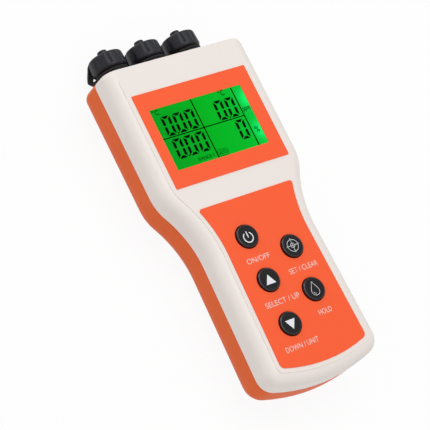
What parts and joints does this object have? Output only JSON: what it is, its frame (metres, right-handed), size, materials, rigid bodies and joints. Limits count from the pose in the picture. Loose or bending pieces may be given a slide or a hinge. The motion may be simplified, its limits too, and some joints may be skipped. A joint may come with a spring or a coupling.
{
  "type": "handheld water quality meter",
  "caption": "Handheld water quality meter: wide display head on a waisted grip, round keys below a backlit display, screw-capped probe sockets on the head end.",
  "frame": {"origin": "centre of the footprint on the plane of the flat back, on which the meter lies", "axes": "+Z out of the display face, +Y along the meter towards the sockets, +X to the right when the display is read"},
  "size_m": [0.1, 0.2306, 0.0447],
  "materials": {
    "shell_white": "fine satin moulded plastic",
    "shell_orange": "fine satin moulded plastic",
    "overlay_orange": "printed film",
    "clear_window": "clear film",
    "key_black": "glossy with pale symbols",
    "lcd_green": "lit green with black segments",
    "white_plastic": "moulded",
    "board_green": "solder resist",
    "part_black": "moulded",
    "cap_black": "satin moulded",
    "rubber_black": "matt",
    "steel": "plain",
    "contact_gold": "plated",
    "cell_wrap": "plain wrap"
  },
  "bodies": {
    "housing": {"front_shell": "shell_white", "back_shell": "shell_orange", "shell_gasket": "rubber_black", "shell_screws": "steel", "display_overlay": "overlay_orange", "display_lens": "clear_window", "keypad_overlay": "overlay_orange", "lcd_glass": "lcd_green", "lcd_backlight": "white_plastic", "lcd_frame": "white_plastic", "main_board": "board_green", "board_parts": "part_black", "key_switches": "steel", "battery_a": "cell_wrap", "battery_b": "cell_wrap", "battery_contacts": "contact_gold", "battery_door": "shell_orange", "door_gasket": "rubber_black", "door_screws": "steel", "socket_left": "part_black", "socket_mid": "part_black", "socket_right": "part_black", "socket_seals": "rubber_black", "socket_nuts": "steel", "pins_left": "contact_gold", "pins_mid": "contact_gold", "pins_right": "contact_gold"},
    "key_power": {"button_power": "key_black"},
    "key_target": {"button_target": "key_black"},
    "key_up": {"button_up": "key_black"},
    "key_drop": {"button_drop": "key_black"},
    "key_down": {"button_down": "key_black"},
    "hanger_left": {"rivet_left": "cap_black", "strap_left": "rubber_black"},
    "screw_cap_left": {"cap_left": "cap_black"},
    "hanger_mid": {"rivet_mid": "cap_black", "strap_mid": "rubber_black"},
    "screw_cap_mid": {"cap_mid": "cap_black"},
    "hanger_right": {"rivet_right": "cap_black", "strap_right": "rubber_black"},
    "screw_cap_right": {"cap_right": "cap_black"}
  },
  "joints": [
    {"name": "press_power", "type": "slide", "parent": "housing", "child": "key_power", "axis": [0, 0, -1], "range_m": [0, 0.0008], "stiffness_N_per_m": 1500},
    {"name": "press_target", "type": "slide", "parent": "housing", "child": "key_target", "axis": [0, 0, -1], "range_m": [0, 0.0008], "stiffness_N_per_m": 1500},
    {"name": "press_up", "type": "slide", "parent": "housing", "child": "key_up", "axis": [0, 0, -1], "range_m": [0, 0.0008], "stiffness_N_per_m": 1500},
    {"name": "press_drop", "type": "slide", "parent": "housing", "child": "key_drop", "axis": [0, 0, -1], "range_m": [0, 0.0008], "stiffness_N_per_m": 1500},
    {"name": "press_down", "type": "slide", "parent": "housing", "child": "key_down", "axis": [0, 0, -1], "range_m": [0, 0.0008], "stiffness_N_per_m": 1500},
    {"name": "lift_left", "type": "slide", "parent": "housing", "child": "hanger_left", "axis": [0, 1, 0], "range_m": [0, 0.00376]},
    {"name": "unscrew_left", "type": "hinge", "parent": "hanger_left", "child": "screw_cap_left", "pos_m": [-0.0264, 0.1047, 0.015], "axis": [0, 1, 0], "range_deg": [0, 900]},
    {"name": "lift_mid", "type": "slide", "parent": "housing", "child": "hanger_mid", "axis": [0, 1, 0], "range_m": [0, 0.00376]},
    {"name": "unscrew_mid", "type": "hinge", "parent": "hanger_mid", "child": "screw_cap_mid", "pos_m": [0, 0.1047, 0.015], "axis": [0, 1, 0], "range_deg": [0, 900]},
    {"name": "lift_right", "type": "slide", "parent": "housing", "child": "hanger_right", "axis": [0, 1, 0], "range_m": [0, 0.00376]},
    {"name": "unscrew_right", "type": "hinge", "parent": "hanger_right", "child": "screw_cap_right", "pos_m": [0.0264, 0.1047, 0.015], "axis": [0, 1, 0], "range_deg": [0, 900]}
  ],
  "couplings": [
    {"joint": "lift_left", "follows": "unscrew_left", "m_per_rad": 0.00023873},
    {"joint": "lift_mid", "follows": "unscrew_mid", "m_per_rad": 0.00023873},
    {"joint": "lift_right", "follows": "unscrew_right", "m_per_rad": 0.00023873}
  ]
}
